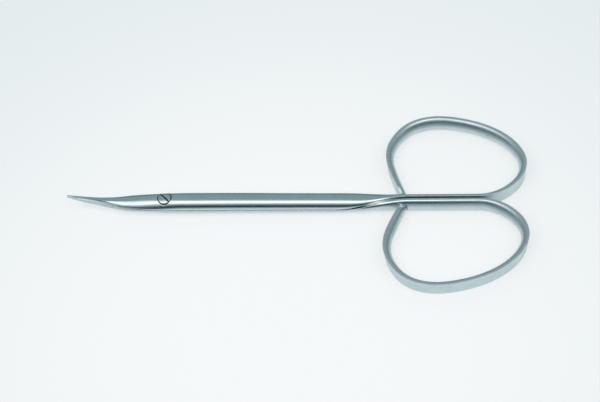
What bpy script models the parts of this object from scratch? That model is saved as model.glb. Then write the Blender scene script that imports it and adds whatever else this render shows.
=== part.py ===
"""Curved suture scissors with ribbon finger rings, in metres, +Z up.

The closed scissors lie flat, with their tips towards -X and their rings towards +X.
The upper half runs to the ring at +Y and the lower half to the ring at -Y.
Every shape is drawn with x = y = 0 on the pivot axis, and then placed along X.
Each half is one forging: a tapered blade, half of a rod, a quarter twist, and a flat
ribbon that is bent round into a finger ring and brazed back on its own stem.
"""

import math

import bmesh
import bpy
import numpy as np

# Reach, measured from the pivot axis
blade_reach = 0.02475
handle_reach = 0.09025

# Rod made by the two closed shanks
shank_width = 0.0050
upper_thickness = 0.0023
lower_thickness = 0.0023
shank_end_share = 0.94
shank_steps = 5
edge_chamfer = 0.00012
edge_land = 0.00005
edge_limit_share = 0.25
parting_gap = 0.0003

# The rod's parting surface sinks to the middle of the ribbons, from here to the ring's end
sink_start = 0.0100

# Blades: lengths run from the tips, and the tips curve upwards
taper_length = 0.0300
curve_length = 0.0145
tip_rise = 0.0031
rise_power = 1.6
cutting_wedge_power = 1.6
half_width_shares = (
    (0.00, 0.05), (0.10, 0.20), (0.24, 0.36), (0.33, 0.46), (0.44, 0.66),
    (0.58, 0.84), (0.72, 0.93), (0.86, 0.98), (1.00, 1.00),
)
thickness_shares = (
    (0.00, 0.06), (0.10, 0.22), (0.24, 0.40), (0.33, 0.57), (0.44, 0.75),
    (0.58, 0.86), (0.72, 0.92), (0.86, 0.97), (1.00, 1.00),
)
back_width_shares = (
    (0.00, 0.60), (0.12, 0.32), (0.24, 0.26), (0.33, 0.35), (0.39, 0.55),
    (0.46, 0.85), (0.54, 1.00), (0.77, 1.00), (1.00, 1.00),
)
blade_steps = 22

# Quarter twist between the rod and the ribbon, which it finishes this far past the ring's end
twist_length = 0.0182
twist_past_ring_end = 0.0029
twist_steps = 18
twist_thinning_power = 1.6

# Ribbon: its flat face lies outwards and its crowned face lies inside the ring.
# A crown power of 1 gives half an ellipse, and a smaller one a squarer crown.
ribbon_height = 0.0040
ring_thickness = 0.00170
stem_thickness = 0.00155
thickness_blend_length = 0.0060
ribbon_crown_power = 0.80
ribbon_land = 0.00032
crown_steps = 12

# Finger ring: outer size, and its outer face as shares of that size
ring_length = 0.03525
ring_width = 0.0262
bend_start_share = 0.66
ring_face_shares = (
    (0.788, 0.043), (0.896, 0.137), (0.976, 0.278), (0.9993, 0.450), (0.954, 0.615),
    (0.870, 0.750), (0.764, 0.853), (0.645, 0.927), (0.519, 0.976), (0.390, 1.000),
    (0.260, 0.982), (0.142, 0.906), (0.056, 0.774), (0.006, 0.611), (0.007, 0.436),
    (0.045, 0.268), (0.083, 0.140),
)
ring_end_share = 0.099
ring_steps_per_span = 4

# Pivot screw: countersunk, slotted, and ground flush with both halves
screw_head_diameter = 0.00325
screw_shank_diameter = 0.0020
screw_land_height = 0.0012
screw_cone_height = 0.0004
screw_clearance = 0.00015
slot_width = 0.00045
slot_depth = 0.00055
slot_turn_degrees = -45.0
screw_sides = 32

# Braze where each ring's end meets its own stem
braze_clearance = 0.0003
braze_film = 0.0003
braze_foot = 0.0007
braze_climb = 0.0006
braze_lip = 0.0003
braze_inset = 0.00045
braze_fillet_steps = 4

# One length past a surface for everything that cuts through it
cut_overrun = 0.0010

# Finish: colours as red, green and blue, edges sharper than the crease angle stay crisp
crease_degrees = 35.0
satin_colour = (0.60, 0.66, 0.69)
satin_roughness = 0.28
screw_colour = (0.62, 0.66, 0.68)
screw_roughness = 0.22
braze_colour = (0.55, 0.57, 0.55)
braze_roughness = 0.42

# Values worked out from the sizes above
overall_length = blade_reach + handle_reach
pivot_x = blade_reach - overall_length / 2
half_width = shank_width / 2
parting_height = lower_thickness + parting_gap / 2
ribbon_middle = ribbon_height / 2
ring_left = handle_reach - ring_length
bend_start = ring_left + bend_start_share * ring_length
braze_face_y = parting_gap / 2 + stem_thickness + braze_clearance
ring_end_y = braze_face_y + braze_film + braze_clearance
ring_end_x = ring_left + ring_end_share * ring_length
twist_start = ring_end_x + twist_past_ring_end - twist_length


def smooth_step(share):
    """Ease from 0 to 1 with no slope at either end."""
    share = min(max(share, 0.0), 1.0)
    return share * share * (3 - 2 * share)


def read_shares(table, share):
    """Read a table of (place, value) shares along a smooth curve through its rows."""
    share = min(max(share, table[0][0]), table[-1][0])
    places = np.array([row[0] for row in table])
    values = np.array([row[1] for row in table])
    slopes = np.gradient(values, places)
    slopes[-1] = 0.0
    row = min(int(np.searchsorted(places, share, side="right")) - 1, len(table) - 2)
    span = places[row + 1] - places[row]
    t = (share - places[row]) / span
    rise = values[row + 1] - values[row]
    ease = t * t * (3 - 2 * t)
    lean = t * (1 - t) * ((1 - t) * slopes[row] - t * slopes[row + 1]) * span
    return float(values[row] + rise * ease + lean)


def curve_through(points, start_heading, end_heading, steps_per_span):
    """Places and headings along the smooth curve through points, with its two end headings set."""
    points = np.array(points)
    spans = np.linalg.norm(np.diff(points, axis=0), axis=1)
    count = len(points)
    system = np.eye(count)
    wanted = np.zeros((count, 2))
    wanted[0], wanted[-1] = start_heading, end_heading
    for i in range(1, count - 1):
        before, after = spans[i - 1], spans[i]
        system[i, i - 1:i + 2] = after, 2 * (before + after), before
        chord_in = (points[i] - points[i - 1]) / before
        chord_out = (points[i + 1] - points[i]) / after
        wanted[i] = 3 * (after * chord_in + before * chord_out)
    slopes = np.linalg.solve(system, wanted)
    places, headings = [], []
    for i, span in enumerate(spans):
        first_step = 0 if i == 0 else 1
        for step in range(first_step, steps_per_span + 1):
            t = step / steps_per_span
            basis = (2 * t**3 - 3 * t**2 + 1, t**3 - 2 * t**2 + t, 3 * t**2 - 2 * t**3, t**3 - t**2)
            rates = (6 * t**2 - 6 * t, 3 * t**2 - 4 * t + 1, 6 * t - 6 * t**2, 3 * t**2 - 2 * t)
            knots = (points[i], slopes[i] * span, points[i + 1], slopes[i + 1] * span)
            places.append(sum(b * k for b, k in zip(basis, knots)))
            heading = sum(r * k for r, k in zip(rates, knots))
            headings.append(heading / np.linalg.norm(heading))
    return places, headings


def blade_share(x):
    """How far x lies along the taper, from 0 at the tips to 1 where the rod is full."""
    return (x + blade_reach) / taper_length


def blade_rise(radius):
    """Height of the parting surface over its flat part, at a distance from the pivot axis.

    It depends on that distance alone, so the blades slide past each other as they turn.
    """
    beyond = radius - (blade_reach - curve_length)
    if beyond <= 0:
        return 0.0
    return tip_rise * (beyond / curve_length) ** rise_power


def parting_level(radius):
    """Height of the parting surface, which depends on the distance from the pivot axis alone."""
    sunk = smooth_step((radius - sink_start) / (ring_end_x - sink_start))
    return parting_height + (ribbon_middle - parting_height) * sunk


def twist_share(x):
    """How far the quarter twist has turned at x, from 0 to 1."""
    return smooth_step((x - twist_start) / twist_length)


def rod_outline(x, thickness):
    """Cutting side, back side and dome height of one half at x."""
    full_x = taper_length - blade_reach
    slim = 1 - (1 - shank_end_share) * smooth_step((x - full_x) / (twist_start - full_x))
    side = half_width * slim * read_shares(half_width_shares, blade_share(x))
    back = side * read_shares(back_width_shares, blade_share(x))
    height = thickness * slim * read_shares(thickness_shares, blade_share(x))
    return side, back, height


def section_points(cutting_side, back_side, height, land, crown_power, wedge_share):
    """Outline of one half as (across, out) lengths: its flat face, then its outer face.

    Each side has a chamfer and then a flat land, and the crown joins the two lands.
    """
    chamfer = min(edge_chamfer, edge_limit_share * min(cutting_side, back_side, height))
    crown_start = chamfer + min(land, edge_limit_share * height)
    points = [(chamfer - back_side, 0.0), (cutting_side - chamfer, 0.0), (cutting_side, chamfer)]
    for i in range(crown_steps + 1):
        angle = math.pi * i / crown_steps
        reach, power = -back_side, crown_power
        if i < crown_steps / 2:
            reach = cutting_side
            power = crown_power + (cutting_wedge_power - 1) * wedge_share
        v = abs(math.cos(angle)) ** crown_power * reach
        w = math.sin(angle) ** power if 0 < i < crown_steps else 0.0
        points.append((v, crown_start + w * (height - crown_start)))
    points.append((-back_side, chamfer))
    return points


def rod_section(x, side, thickness):
    """World points of one half's section at x, from the tip to the start of the ring's bend."""
    turned = twist_share(x)
    cutting, back, height = rod_outline(x, thickness)
    thinned = turned ** twist_thinning_power
    if turned > 0:
        cutting = back = back + (ribbon_middle - back) * thinned
    middle = parting_level(x)
    if side < 0 and x > 0:
        height = min(height, middle - parting_gap / 2)
    height += (stem_thickness - height) * thinned
    wedge = 1 - read_shares(back_width_shares, blade_share(x))
    angle = math.pi / 2 * turned
    flat_way = np.array((0.0, math.cos(angle), -math.sin(angle))) * side
    out_way = np.array((0.0, math.sin(angle), math.cos(angle))) * side
    land = edge_land + (ribbon_land - edge_land) * turned
    power = 1 - (1 - ribbon_crown_power) * turned
    section = []
    for v, w in section_points(cutting, back, height, land, power, wedge):
        point = v * flat_way + (w + parting_gap / 2) * out_way
        radius = math.hypot(x, point[1])
        level_here = blade_rise(radius) + parting_height if x < 0 else parting_level(radius)
        section.append(np.array((x, point[1], max(0.0, level_here + point[2]))))
    return section


def ring_face():
    """Places and headings along the outer face of the ring at +Y, from the bend to its end."""
    points = [(bend_start, parting_gap / 2)]
    for along, across in ring_face_shares:
        points.append((ring_left + along * ring_length, across * ring_width))
    points.append((ring_end_x, ring_end_y))
    return curve_through(points, (1.0, 0.0), (0.0, -1.0), ring_steps_per_span)


def ring_sections(side):
    """World points of the ribbon's sections round the ring."""
    places, headings = ring_face()
    steps = np.linalg.norm(np.diff(np.array(places), axis=0), axis=1)
    travelled = np.concatenate(([0.0], np.cumsum(steps)))
    sections = []
    for place, heading, run in zip(places, headings, travelled):
        nearest_end = min(run, travelled[-1] - run)
        swell = smooth_step(nearest_end / thickness_blend_length)
        thickness = stem_thickness + (ring_thickness - stem_thickness) * swell
        centre = np.array((place[0], place[1] * side, ribbon_middle))
        flat_way = np.array((0.0, 0.0, -1.0)) * side
        out_way = np.array((-heading[1], heading[0] * side, 0.0))
        outline = section_points(
            ribbon_middle, ribbon_middle, thickness, ribbon_land, ribbon_crown_power, 0.0
        )
        sections.append([centre + v * flat_way + w * out_way for v, w in outline])
    return sections


def half_sections(side, thickness):
    """All sections of one half, from its tip to the end of its ring."""
    full_x = taper_length - blade_reach
    places = [-blade_reach + taper_length * i / blade_steps for i in range(blade_steps)]
    places += [full_x + (twist_start - full_x) * i / shank_steps for i in range(shank_steps)]
    places += [twist_start + twist_length * i / twist_steps for i in range(twist_steps + 1)]
    rod = [rod_section(x, side, thickness) for x in places]
    return rod + ring_sections(side)


def steel_material(name, colour, roughness):
    """A metal with the colour and polish of the photographed part."""
    material = bpy.data.materials.new(name)
    material.use_nodes = True
    shader = material.node_tree.nodes["Principled BSDF"]
    shader.inputs["Base Color"].default_value = (*colour, 1.0)
    shader.inputs["Metallic"].default_value = 1.0
    shader.inputs["Roughness"].default_value = roughness
    return material


def place_mesh(name, mesh_source, material, parent=None):
    """Turn a bmesh into a smooth-shaded object that stands on the pivot axis."""
    bmesh.ops.recalc_face_normals(mesh_source, faces=mesh_source.faces[:])
    mesh = bpy.data.meshes.new(name)
    mesh_source.to_mesh(mesh)
    mesh_source.free()
    mesh.shade_smooth()
    mesh.set_sharp_from_angle(angle=math.radians(crease_degrees))
    mesh.materials.append(material)
    thing = bpy.data.objects.new(name, mesh)
    bpy.context.scene.collection.objects.link(thing)
    if parent is None:
        thing.location = (pivot_x, 0.0, 0.0)
    else:
        thing.parent = parent
    return thing


def skin_sections(sections):
    """Closed skin over a row of sections that all have the same number of points."""
    skin = bmesh.new()
    rings = [[skin.verts.new(point) for point in section] for section in sections]
    for ring, following in zip(rings, rings[1:]):
        for i in range(len(ring)):
            after = (i + 1) % len(ring)
            skin.faces.new((ring[i], ring[after], following[after], following[i]))
    skin.faces.new(rings[0])
    skin.faces.new(rings[-1])
    return skin


def skin_profile(profile, sides):
    """Closed turned skin: each row is (radius, height at that x and y), from top to bottom."""
    skin = bmesh.new()
    rings = []
    for radius, height in profile:
        ring = []
        for i in range(sides):
            angle = 2 * math.pi * i / sides
            x, y = radius * math.cos(angle), radius * math.sin(angle)
            ring.append(skin.verts.new((x, y, height(x, y))))
        rings.append(ring)
    for ring, following in zip(rings, rings[1:]):
        for i in range(sides):
            after = (i + 1) % sides
            skin.faces.new((ring[i], ring[after], following[after], following[i]))
    for ring, height in ((rings[0], profile[0][1]), (rings[-1], profile[-1][1])):
        middle = skin.verts.new((0.0, 0.0, height(0.0, 0.0)))
        for i in range(sides):
            skin.faces.new((ring[i], ring[(i + 1) % sides], middle))
    return skin


def dome_height(x, y, thickness):
    """How far one half's domed face stands off its flat face, near the pivot."""
    side, _, height = rod_outline(x, thickness)
    share = max(0.0, 1 - (y / side) ** 2)
    crown_start = edge_chamfer + edge_land
    return crown_start + (height - crown_start) * math.sqrt(share)


def screw_top(x, y):
    """Height of the upper half's surface, which the screw's head is ground flush with."""
    return parting_height + parting_gap / 2 + dome_height(x, y, upper_thickness)


def screw_bottom(x, y):
    """Height of the lower half's underside, which the screw's end is ground flush with."""
    return parting_height - parting_gap / 2 - dome_height(x, y, lower_thickness)


def level(height):
    """A flat place in a turned profile."""
    return lambda x, y: height


def screw_profile(clearance, head_height, end_height):
    """Rows of the screw, or of the hole that clears it, from its head to its threaded end."""
    head = screw_head_diameter / 2 + clearance
    shank = screw_shank_diameter / 2 + clearance
    seat = parting_height + parting_gap / 2
    return (
        (head / 2, head_height),
        (head, head_height),
        (head, level(seat + screw_land_height)),
        (shank, level(seat + screw_cone_height)),
        (shank, end_height),
        (shank / 2, end_height),
    )


def cut_with(body, cutter_mesh, name):
    """Cut a hidden shape out of a body."""
    cutter = bpy.data.objects.new(name, cutter_mesh)
    bpy.context.scene.collection.objects.link(cutter)
    cutter.location = (pivot_x, 0.0, 0.0)
    cutter.hide_render = True
    cutter.display_type = "WIRE"
    cut = body.modifiers.new(name, "BOOLEAN")
    cut.operation = "DIFFERENCE"
    cut.solver = "EXACT"
    cut.object = cutter


def to_mesh(mesh_source, name):
    """Finish a bmesh as mesh data for a cutter."""
    bmesh.ops.recalc_face_normals(mesh_source, faces=mesh_source.faces[:])
    mesh = bpy.data.meshes.new(name)
    mesh_source.to_mesh(mesh)
    mesh_source.free()
    return mesh


def make_half(name, side, thickness, material, parent=None):
    """One forged half with the screw's hole through it."""
    half = place_mesh(name, skin_sections(half_sections(side, thickness)), material, parent)
    above = level(parting_height + upper_thickness + cut_overrun)
    below = level(-cut_overrun)
    hole = skin_profile(screw_profile(screw_clearance, above, below), screw_sides)
    cut_with(half, to_mesh(hole, name + "_screw_hole"), name + "_screw_hole")
    return half


def make_screw(material):
    """The slotted pivot screw, which threads into the lower half."""
    skin = skin_profile(screw_profile(0.0, screw_top, screw_bottom), screw_sides)
    screw = place_mesh("pivot_screw", skin, material)
    slot = bmesh.new()
    bmesh.ops.create_cube(slot, size=1.0)
    slot_length = screw_head_diameter + 2 * cut_overrun
    top = screw_top(0.0, 0.0)
    floor = top - slot_depth
    height = slot_depth + cut_overrun
    turn = math.radians(slot_turn_degrees)
    for corner in slot.verts:
        along, across = corner.co.x * slot_length, corner.co.y * slot_width
        corner.co.x = along * math.cos(turn) - across * math.sin(turn)
        corner.co.y = along * math.sin(turn) + across * math.cos(turn)
        corner.co.z = floor + (corner.co.z + 0.5) * height
    cut_with(screw, to_mesh(slot, "screw_slot"), "screw_slot")
    return screw


def braze_outline():
    """Outline of the braze at +Y, seen from above: a film with a hollow fillet at each side."""
    clear = braze_clearance
    left = ring_end_x - clear
    right = ring_end_x + stem_thickness + clear
    film_top = braze_face_y + braze_film
    fillet = []
    for i in range(braze_fillet_steps + 1):
        angle = math.pi / 2 * i / braze_fillet_steps
        out = braze_lip + (braze_foot - braze_lip) * (1 - math.sin(angle))
        up = braze_lip + (braze_climb - braze_lip) * (1 - math.cos(angle))
        fillet.append((out, film_top - braze_lip + up))
    outline = [(left - braze_foot, braze_face_y), (right + braze_foot, braze_face_y)]
    outline += [(right + out, y) for out, y in fillet]
    outline += [(right, fillet[-1][1]), (right, film_top), (left, film_top), (left, fillet[-1][1])]
    outline += [(left - out, y) for out, y in reversed(fillet)]
    return outline


def make_braze(name, side, material, parent=None):
    """The silver braze that joins a ring's end to its own stem."""
    outline = [(x, y * side) for x, y in braze_outline()]
    block = bmesh.new()
    rows = []
    for z in (braze_inset, ribbon_height - braze_inset):
        rows.append([block.verts.new((x, y, z)) for x, y in outline])
    low, high = rows
    block.faces.new(low)
    block.faces.new(high)
    for i in range(len(outline)):
        after = (i + 1) % len(outline)
        block.faces.new((low[i], low[after], high[after], high[i]))
    return place_mesh(name, block, material, parent)


def build():
    """Build the scissors from an empty scene."""
    for thing in list(bpy.data.objects):
        bpy.data.objects.remove(thing, do_unlink=True)
    pivot = bpy.data.objects.new("pivot_axis", None)
    pivot.location = (pivot_x, 0.0, 0.0)
    bpy.context.scene.collection.objects.link(pivot)
    upper_steel = steel_material("upper_steel", satin_colour, satin_roughness)
    make_half("upper_half", 1, upper_thickness, upper_steel, pivot)
    lower_steel = steel_material("lower_steel", satin_colour, satin_roughness)
    make_half("lower_half", -1, lower_thickness, lower_steel)
    make_screw(steel_material("screw_steel", screw_colour, screw_roughness))
    upper_silver = steel_material("upper_silver", braze_colour, braze_roughness)
    make_braze("upper_ring_braze", 1, upper_silver, pivot)
    make_braze("lower_ring_braze", -1, steel_material("lower_silver", braze_colour, braze_roughness))
    bpy.context.view_layer.update()


build()
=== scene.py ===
"""Finished look of a pair of curved suture scissors that lie closed on a pale table.

Lengths are in metres. The scissors' own shapes are drawn with x = y = 0 on the pivot axis.
The upper half runs to the ring at +Y, side +1, and the lower half to the ring at -Y, side -1.
"""

import math

import bmesh
import bpy
import numpy as np
from mathutils import Matrix, Vector


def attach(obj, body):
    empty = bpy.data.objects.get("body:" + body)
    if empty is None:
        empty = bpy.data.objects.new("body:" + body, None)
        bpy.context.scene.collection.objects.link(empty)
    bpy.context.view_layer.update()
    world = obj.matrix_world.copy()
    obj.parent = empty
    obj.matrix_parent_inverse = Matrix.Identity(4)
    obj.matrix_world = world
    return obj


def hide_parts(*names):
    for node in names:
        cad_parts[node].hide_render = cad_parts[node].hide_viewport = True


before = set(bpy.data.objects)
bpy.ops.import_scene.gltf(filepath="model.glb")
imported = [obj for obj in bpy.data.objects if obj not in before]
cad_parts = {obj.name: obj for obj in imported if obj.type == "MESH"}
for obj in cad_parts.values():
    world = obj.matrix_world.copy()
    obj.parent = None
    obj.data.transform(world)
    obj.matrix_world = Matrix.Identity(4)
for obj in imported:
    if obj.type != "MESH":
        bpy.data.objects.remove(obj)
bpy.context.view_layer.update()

# Reach, measured from the pivot axis
blade_reach = 0.02475
handle_reach = 0.09025

# Rod made by the two closed shanks
shank_width = 0.0050
half_thickness = 0.0023
shank_end_share = 0.94
parting_gap = 0.0003
stem_gap = 0.00056
twist_gap = 0.00020
sink_start = 0.0100

# Rounding of every long edge
edge_radius = 0.00011
edge_land = 0.00004
edge_limit_share = 0.3
flat_edge_wear = 0.7
crown_edge_wear = 0.8

# Blades: lengths run from the tips, and the tips curve upwards
taper_length = 0.0300
curve_length = 0.0145
tip_rise = 0.00303
rise_power = 1.6
cutting_wedge_power = 1.5
tip_round = 0.0004
tip_least_share = 0.05
half_width_shares = (
    (0.00, 0.08), (0.05, 0.17), (0.12, 0.26), (0.20, 0.36), (0.28, 0.46), (0.37, 0.60),
    (0.45, 0.76), (0.53, 0.88), (0.62, 0.92), (0.74, 0.94), (0.86, 0.97), (1.00, 1.00),
)
thickness_shares = (
    (0.00, 0.05), (0.10, 0.11), (0.20, 0.14), (0.29, 0.16), (0.37, 0.21), (0.45, 0.37),
    (0.53, 0.53), (0.62, 0.69), (0.72, 0.85), (0.84, 0.96), (1.00, 1.00),
)
back_width_shares = (
    (0.00, 0.50), (0.10, 0.14), (0.20, 0.09), (0.29, 0.15), (0.37, 0.33), (0.45, 0.60),
    (0.53, 0.76), (0.62, 0.90), (0.71, 1.00), (1.00, 1.00),
)
back_slope_shares = (
    (0.00, 0.30), (0.20, 0.60), (0.33, 0.80), (0.43, 0.70), (0.53, 0.52), (0.62, 0.42),
    (0.72, 0.28), (0.84, 0.12), (1.00, 0.00),
)
back_slope_power = 1.90
back_slope_across_power = 1.90

# Quarter twist between the rod and the ribbon
twist_length = 0.0182
twist_past_ring_end = 0.0029
twist_thinning_power = 1.6

# Ribbon: its flat face lies outwards and its crowned face lies inside the ring
ribbon_height = 0.00422
ring_thickness = 0.00180
stem_thickness = 0.00158
thickness_blend_length = 0.0060
ribbon_across_power = 1.40
ribbon_out_power = 0.90
ribbon_land = 0.00022
upper_lean_degrees = 3.5
lower_lean_degrees = 5.5
lean_blend_length = 0.0120

# Finger ring: outer size, and its outer face as shares of that size
ring_length = 0.03485
ring_inset = 0.00020
ring_width = 0.0262
bend_start_share = 0.66
ring_face_shares = (
    (0.788, 0.043), (0.896, 0.137), (0.976, 0.278), (0.999, 0.450), (0.954, 0.615),
    (0.870, 0.750), (0.764, 0.853), (0.645, 0.927), (0.519, 0.976), (0.390, 1.000),
    (0.260, 0.982), (0.142, 0.906), (0.056, 0.774), (0.006, 0.611), (0.007, 0.436),
    (0.045, 0.268), (0.083, 0.140),
)
ring_end_share = 0.095
ring_end_gap = 0.0009
ring_end_heading = (0.40, -0.92)
ring_end_sinks_to = 0.00090
ring_end_height_share = 0.55
ring_end_taper = (0.0012, 0.0036)
ring_end_zone_share = 0.25

# Pivot screw: countersunk, slotted, and ground flush with both halves
screw_head_radius = 0.001625
screw_shank_radius = 0.0010
screw_land_height = 0.0012
screw_cone_height = 0.0004
screw_clearance = 0.00020
screw_bevel = 0.00007
slot_width = 0.00037
slot_depth = 0.00070
slot_turn_degrees = -45.0
# Faces deeper than this under the dome, in the screw's slot and round its hole, take dark oil residue
# with painted shade
oil_and_shade_depth = 0.00012
screw_corner_share = 0.3
screw_crown_lift = 0.00001
screw_head_shares = (0.12, 0.24, 0.36, 0.48, 0.60, 0.72, 0.84, 0.93)
screw_end_shares = (0.80, 0.60, 0.40, 0.20)
hole_rim_reach = 0.001
cutter_overrun = 0.001
slot_cutter_length = 0.006
slot_cutter_height = 0.002

# Braze fillet round the ring's end
braze_foot = 0.00024
braze_climb = 0.00040
braze_height_share = 0.45
braze_corner_power = 0.4
braze_wrap_gap = 0.00003
braze_seat_gap = 0.00002

# Waves round each braze's foot and climb: size, count, shift, and shift times the side
braze_foot_waves = ((0.16, 3, 0.8, 0.0), (0.10, 7, 2.1, 1.0))
braze_climb_waves = ((0.18, 2, 0.0, 1.3), (0.08, 9, 0.0, 0.0))

# Marks on the steel: scales are counts per metre, and stretches are (along, across, out)
wear_patch_scale = 900.0
wear_spread = (0.30, 0.60)
hairline_density = 500.0
hairline_width = 0.03
hairline_stretch = (0.22, 1.0, 1.0)
hairline_wander = 0.0012
hairline_wander_scale = 260.0
hairline_break_scale = 700.0
hairline_break_level = 0.58
cloud_scale = 260.0
cloud_spread = (0.35, 0.70)
cloud_detail = 4.0
cloud_detail_strength = 0.6
wave_scale = 420.0
wave_stretch = (0.35, 1.0, 1.0)
wave_detail = 1.0
grain_detail = 3.0

# Steel: clean, cloudy and worn colours, and roughness from clean to cloudy
satin_colours = ((0.615, 0.700, 0.712), (0.560, 0.645, 0.660), (0.740, 0.805, 0.815))
satin_roughness = (0.17, 0.24)
satin_grain = {"Lines per Metre": 26000.0, "Line Length": 60.0}
# Ground flats: a rougher ground finish, and a colour far lighter than the steel's, which is painted light
# on the flat faces
ground_painted_light_colours = ((0.900, 0.955, 0.965), (0.850, 0.910, 0.920), (0.930, 0.975, 0.985))
ground_roughness = (0.50, 0.62)
ground_grain = {"Lines per Metre": 18000.0, "Line Length": 50.0}
ground_grain_turn = (0.0, 0.0, math.radians(90.0))
edge_wear_amount = 0.9
grain_extra_roughness = 0.035
hairline_extra_roughness = 0.08
wave_relief = 0.00001
wave_relief_strength = 1.0
grain_relief = 0.0000008
grain_relief_strength = 0.5

# The rings and blades are duller than the rod: runs along the bar from the ring's bend
ring_finish_run = (-0.030, 0.012)
ring_extra_roughness = 0.16
blade_finish_run = (-0.075, -0.087)
blade_extra_roughness = 0.05

# Screw, oil residue with painted shade in the pivot's recesses, and braze: clean and cloudy colours, and
# the size of their marks
screw_colours = ((0.64, 0.69, 0.71), (0.52, 0.57, 0.59))
screw_roughness = (0.16, 0.26)
screw_ring_scale = 2600.0
screw_ring_distortion = 1.5
screw_ring_relief = 0.000002
screw_marks = {"Cloud Scale": 900.0}
oil_and_shade_colours = ((0.045, 0.066, 0.074), (0.125, 0.152, 0.162))
oil_and_shade_roughness = (0.45, 0.70)
oil_and_shade_metallic = 0.4
oil_and_shade_marks = {"Cloud Scale": 5200.0}
braze_colours = ((0.36, 0.41, 0.43), (0.20, 0.24, 0.26))
braze_roughness = (0.44, 0.60)
braze_marks = {"Cloud Scale": 1400.0, "Wave Scale": 1800.0}
braze_relief = 0.00004
relief_strength = 0.6

# Places in a piece's list of materials, after the steel
# Ground flats, whose lighter colour is painted light
ground_painted_light_index = 1
# Dark oil residue with painted shade in the pivot's recesses
oil_and_shade_index = 2
screw_oil_and_shade_index = 1

# Angles over which an edge is drawn sharp
half_crease_degrees = 42.0
screw_crease_degrees = 30.0
braze_crease_degrees = 50.0

# Fineness of the meshes
flat_steps = 6
corner_steps = 5
crown_steps = 44
blade_stations = 76
shank_stations = 20
twist_stations = 76
stem_stations = 12
ring_steps_per_span = 12
ring_end_steps = 6
tip_crowding_power = 1.5
screw_sides = 72
braze_sides = 96
braze_climb_steps = 8
weld_distance = 0.00002

# Node trees: their layout, and the places of a Mix node's colours among its sockets
nodes_in_a_row = 8
node_pitch = 220
mix_colour_inputs = (6, 7)
mix_colour_output = 2

# Camera, found from the photograph's own outline
camera_target = (0.00113, 0.00075, 0.00200)
camera_distance = 0.3908
camera_elevation = math.radians(51.6)
camera_azimuth = math.radians(10.10)
camera_roll = math.radians(-8.32)
camera_lens = 93.95
camera_sensor = 36.0
camera_clip = (0.01, 20.0)

# Studio: angles run from the near horizon, over the top, to the far horizon
softbox_elevation_degrees = 67.0
softbox_distance = 0.80
softbox_size = (1.10, 0.30)
softbox_watts = 0.95
room_stops = (
    (0.0, (0.026, 0.055, 0.068)),
    (10.0, (0.030, 0.058, 0.072)),
    (24.0, (0.060, 0.095, 0.110)),
    (60.0, (0.270, 0.335, 0.355)),
    (92.0, (0.330, 0.425, 0.460)),
    (180.0, (0.320, 0.420, 0.455)),
)
glow_stops = (
    (18.0, 0.00), (32.0, 0.09), (44.0, 0.42), (56.0, 0.88),
    (66.0, 1.00), (77.0, 0.95), (85.0, 0.60), (92.0, 0.00),
)
horizon_top_sine = 0.30
horizon_share = 0.25
glow_strength = 0.80
glow_end_sines = (0.55, 0.90)
glow_end_share = 0.30

# Table: its place, its brightness, its colours with a painted pool of light that falls off from the
# middle outwards, the painted shade and tint it shows in reflections, and its fine fibre
table_reach = 3.0
table_drop = 0.00002
table_lift = 0.62
table_matt_share = 0.61
table_colour = (0.930, 0.912, 0.902)
# Painted light fall-off: the duller colour the table fades to away from the middle of its painted pool of
# light
table_painted_falloff_colour = (0.781, 0.809, 0.816)
# Painted reflection: the tint the table shows to every ray but the camera's, and the painted shade it
# darkens to when seen at a low angle
table_painted_reflection_colour = (0.865, 0.908, 0.912)
table_painted_grazing_shade = (0.195, 0.262, 0.285)
table_painted_shade_facing = 0.60
# Middle of the painted pool of light on the table, and the run over which it falls off
table_painted_light_middle = (0.0, 0.035, 0.0)
table_painted_falloff_run = (0.02, 0.16)
table_roughness = 0.85
table_specular = 0.15
table_fibre_scale = 1800.0
table_fibre_relief = 0.00001
table_fibre_strength = 0.1

# Values worked out from the sizes above
pivot_x = (blade_reach - handle_reach) / 2
half_width = shank_width / 2
parting_height = half_thickness + parting_gap / 2
ribbon_middle = ribbon_height / 2
ring_left = handle_reach - ring_inset - ring_length
bend_start = ring_left + bend_start_share * ring_length
ring_end_x = ring_left + ring_end_share * ring_length
ring_end_y = stem_gap / 2 + stem_thickness + ring_end_gap
twist_start = ring_end_x + twist_past_ring_end - twist_length
full_x = taper_length - blade_reach


# ---------------------------------------------------------------- shapes of the halves

def smooth_step(share):
    """Ease from 0 to 1 with no slope at either end."""
    share = min(max(share, 0.0), 1.0)
    return share * share * (3 - 2 * share)


def read_shares(table, share):
    """Read a table of (place, value) shares along a smooth curve through its rows."""
    share = min(max(share, table[0][0]), table[-1][0])
    places = np.array([row[0] for row in table])
    values = np.array([row[1] for row in table])
    slopes = np.gradient(values, places)
    slopes[-1] = 0.0
    row = min(int(np.searchsorted(places, share, side="right")) - 1, len(table) - 2)
    span = places[row + 1] - places[row]
    t = (share - places[row]) / span
    rise = values[row + 1] - values[row]
    ease = t * t * (3 - 2 * t)
    lean = t * (1 - t) * ((1 - t) * slopes[row] - t * slopes[row + 1]) * span
    return float(values[row] + rise * ease + lean)


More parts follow.
